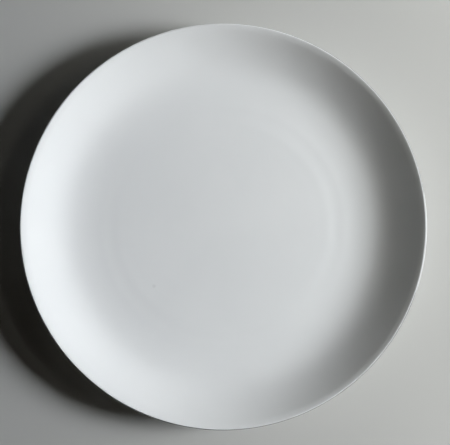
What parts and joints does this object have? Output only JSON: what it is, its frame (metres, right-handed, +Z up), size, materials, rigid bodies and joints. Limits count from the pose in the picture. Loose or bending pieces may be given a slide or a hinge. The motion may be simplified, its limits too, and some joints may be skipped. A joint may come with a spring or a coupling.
{
  "type": "chop plate",
  "caption": "Round white coupe chop plate: flat well, smooth upswept wall, thin rolled lip and a foot ring bare of glaze. Serves and carries food.",
  "frame": {"origin": "where the plate's axis meets the table, in the plane of the foot ring's bearing face", "axes": "+Z up along the axis that the plate is turned about; +X to the right and +Y to the top of the picture"},
  "size_m": [0.33, 0.33, 0.034],
  "materials": {
    "porcelain": "matt fired clay, bare only on the foot ring",
    "glaze": "smooth, satin, slightly cool white glaze"
  },
  "bodies": {
    "root": {"porcelain_body": "porcelain", "glaze_coat": "glaze", "base_glaze": "glaze"}
  },
  "joints": []
}
